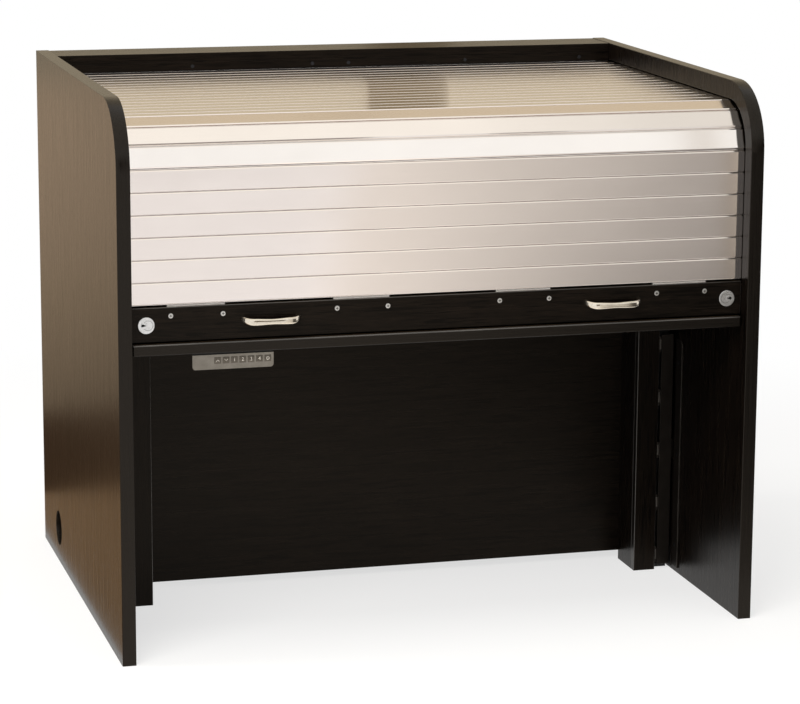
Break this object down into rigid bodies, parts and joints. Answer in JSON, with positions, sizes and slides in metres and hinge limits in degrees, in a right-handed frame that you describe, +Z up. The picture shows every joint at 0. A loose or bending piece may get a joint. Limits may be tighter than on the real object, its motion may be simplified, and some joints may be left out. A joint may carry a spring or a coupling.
{
  "type": "tambour roll-top desk",
  "caption": "Lockable roll-top desk with a rolling slatted aluminium tambour, a handled bottom rail, a hinged cable cover and an electric lift in its column ducts.",
  "frame": {"origin": "centre of the footprint, on the floor", "axes": "+X to the right seen from the front, +Y to the back, +Z up"},
  "size_m": [1.2, 0.9, 1.008],
  "materials": {
    "black_oak": "black stained oak veneer, satin",
    "slat_aluminium": "satin anodised",
    "satin_nickel": "satin nickel plate",
    "zinc_steel": "zinc plated",
    "black_plastic": "fine moulded grain",
    "handset_silver": "silver front foil",
    "key_black": "smooth",
    "column_grey": "powder coat"
  },
  "bodies": {
    "lift_base": {"left_lift_inner": "column_grey", "right_lift_inner": "column_grey"},
    "cabinet": {"left_side_panel": "black_oak", "right_side_panel": "black_oak", "worktop": "black_oak", "modesty_panel": "black_oak", "back_panel": "black_oak", "inner_back_panel": "black_oak", "rear_cap": "black_oak", "rear_fascia": "black_oak", "left_duct_front": "black_oak", "left_duct_side": "black_oak", "right_duct_stile": "black_oak", "right_duct_side": "black_oak", "worktop_cleats": "black_oak", "arc_slat_1": "slat_aluminium", "arc_slat_2": "slat_aluminium", "arc_slat_3": "slat_aluminium", "top_slats_1": "slat_aluminium", "top_slats_2": "slat_aluminium", "top_slats_3": "slat_aluminium", "top_slats_4": "slat_aluminium", "top_slats_5": "slat_aluminium", "top_slats_6": "slat_aluminium", "lock_keepers": "zinc_steel", "cover_hinge_pins": "zinc_steel", "cover_strip_screws": "zinc_steel", "fascia_screws": "zinc_steel", "cover_hinge_ears": "black_plastic", "cover_side_strip": "black_plastic", "cover_catch": "black_plastic", "handset_case": "black_plastic", "handset_face": "handset_silver", "handset_keys": "key_black", "left_lift_outer": "column_grey", "right_lift_outer": "column_grey", "control_box": "column_grey"},
    "rail": {"tambour_rail": "black_oak", "left_handle": "satin_nickel", "right_handle": "satin_nickel", "handle_screws": "zinc_steel", "tambour_hinge_plates": "zinc_steel", "rail_screws": "zinc_steel", "rail_nuts": "zinc_steel", "left_lock_housing": "satin_nickel", "right_lock_housing": "satin_nickel", "lock_ring_nuts": "zinc_steel", "guide_shoes": "black_plastic"},
    "lower_slats": {"front_slat_1": "slat_aluminium", "front_slat_2": "slat_aluminium"},
    "middle_slats": {"front_slat_3": "slat_aluminium", "front_slat_4": "slat_aluminium"},
    "upper_slats": {"front_slat_5": "slat_aluminium", "front_slat_6": "slat_aluminium"},
    "left_lock": {"left_lock_plug": "satin_nickel", "left_lock_cam": "zinc_steel"},
    "right_lock": {"right_lock_plug": "satin_nickel", "right_lock_cam": "zinc_steel"},
    "duct_cover": {"duct_cover": "black_plastic"}
  },
  "joints": [
    {"name": "lift", "type": "slide", "parent": "lift_base", "child": "cabinet", "axis": [0, 0, 1], "range_m": [0, 0.4]},
    {"name": "rail_slide", "type": "slide", "parent": "cabinet", "child": "rail", "axis": [0, 0, 1], "range_m": [0, 0.23]},
    {"name": "lower_slats_turn", "type": "hinge", "parent": "rail", "child": "lower_slats", "pos_m": [0, -0.4124, 0.64801], "axis": [-1, 0, 0], "range_deg": [0, 58]},
    {"name": "middle_slats_turn", "type": "hinge", "parent": "lower_slats", "child": "middle_slats", "pos_m": [0, -0.4124, 0.72801], "axis": [-1, 0, 0], "range_deg": [0, 22]},
    {"name": "upper_slats_turn", "type": "hinge", "parent": "middle_slats", "child": "upper_slats", "pos_m": [0, -0.4124, 0.80801], "axis": [-1, 0, 0], "range_deg": [0, 10]},
    {"name": "left_lock_turn", "type": "hinge", "parent": "rail", "child": "left_lock", "pos_m": [-0.549, -0.41, 0.61301], "axis": [0, 1, 0], "range_deg": [0, 90]},
    {"name": "right_lock_turn", "type": "hinge", "parent": "rail", "child": "right_lock", "pos_m": [0.549, -0.41, 0.61301], "axis": [0, -1, 0], "range_deg": [0, 90]},
    {"name": "cover_swing", "type": "hinge", "parent": "cabinet", "child": "duct_cover", "pos_m": [0.5425, -0.086, 0.245], "axis": [0, 0, -1], "range_deg": [0, 95]}
  ],
  "couplings": [
    {"joint": "lower_slats_turn", "follows": "rail_slide", "rad_per_m": 4.4013},
    {"joint": "middle_slats_turn", "follows": "rail_slide", "rad_per_m": 1.6694},
    {"joint": "upper_slats_turn", "follows": "rail_slide", "rad_per_m": 0.75884}
  ]
}
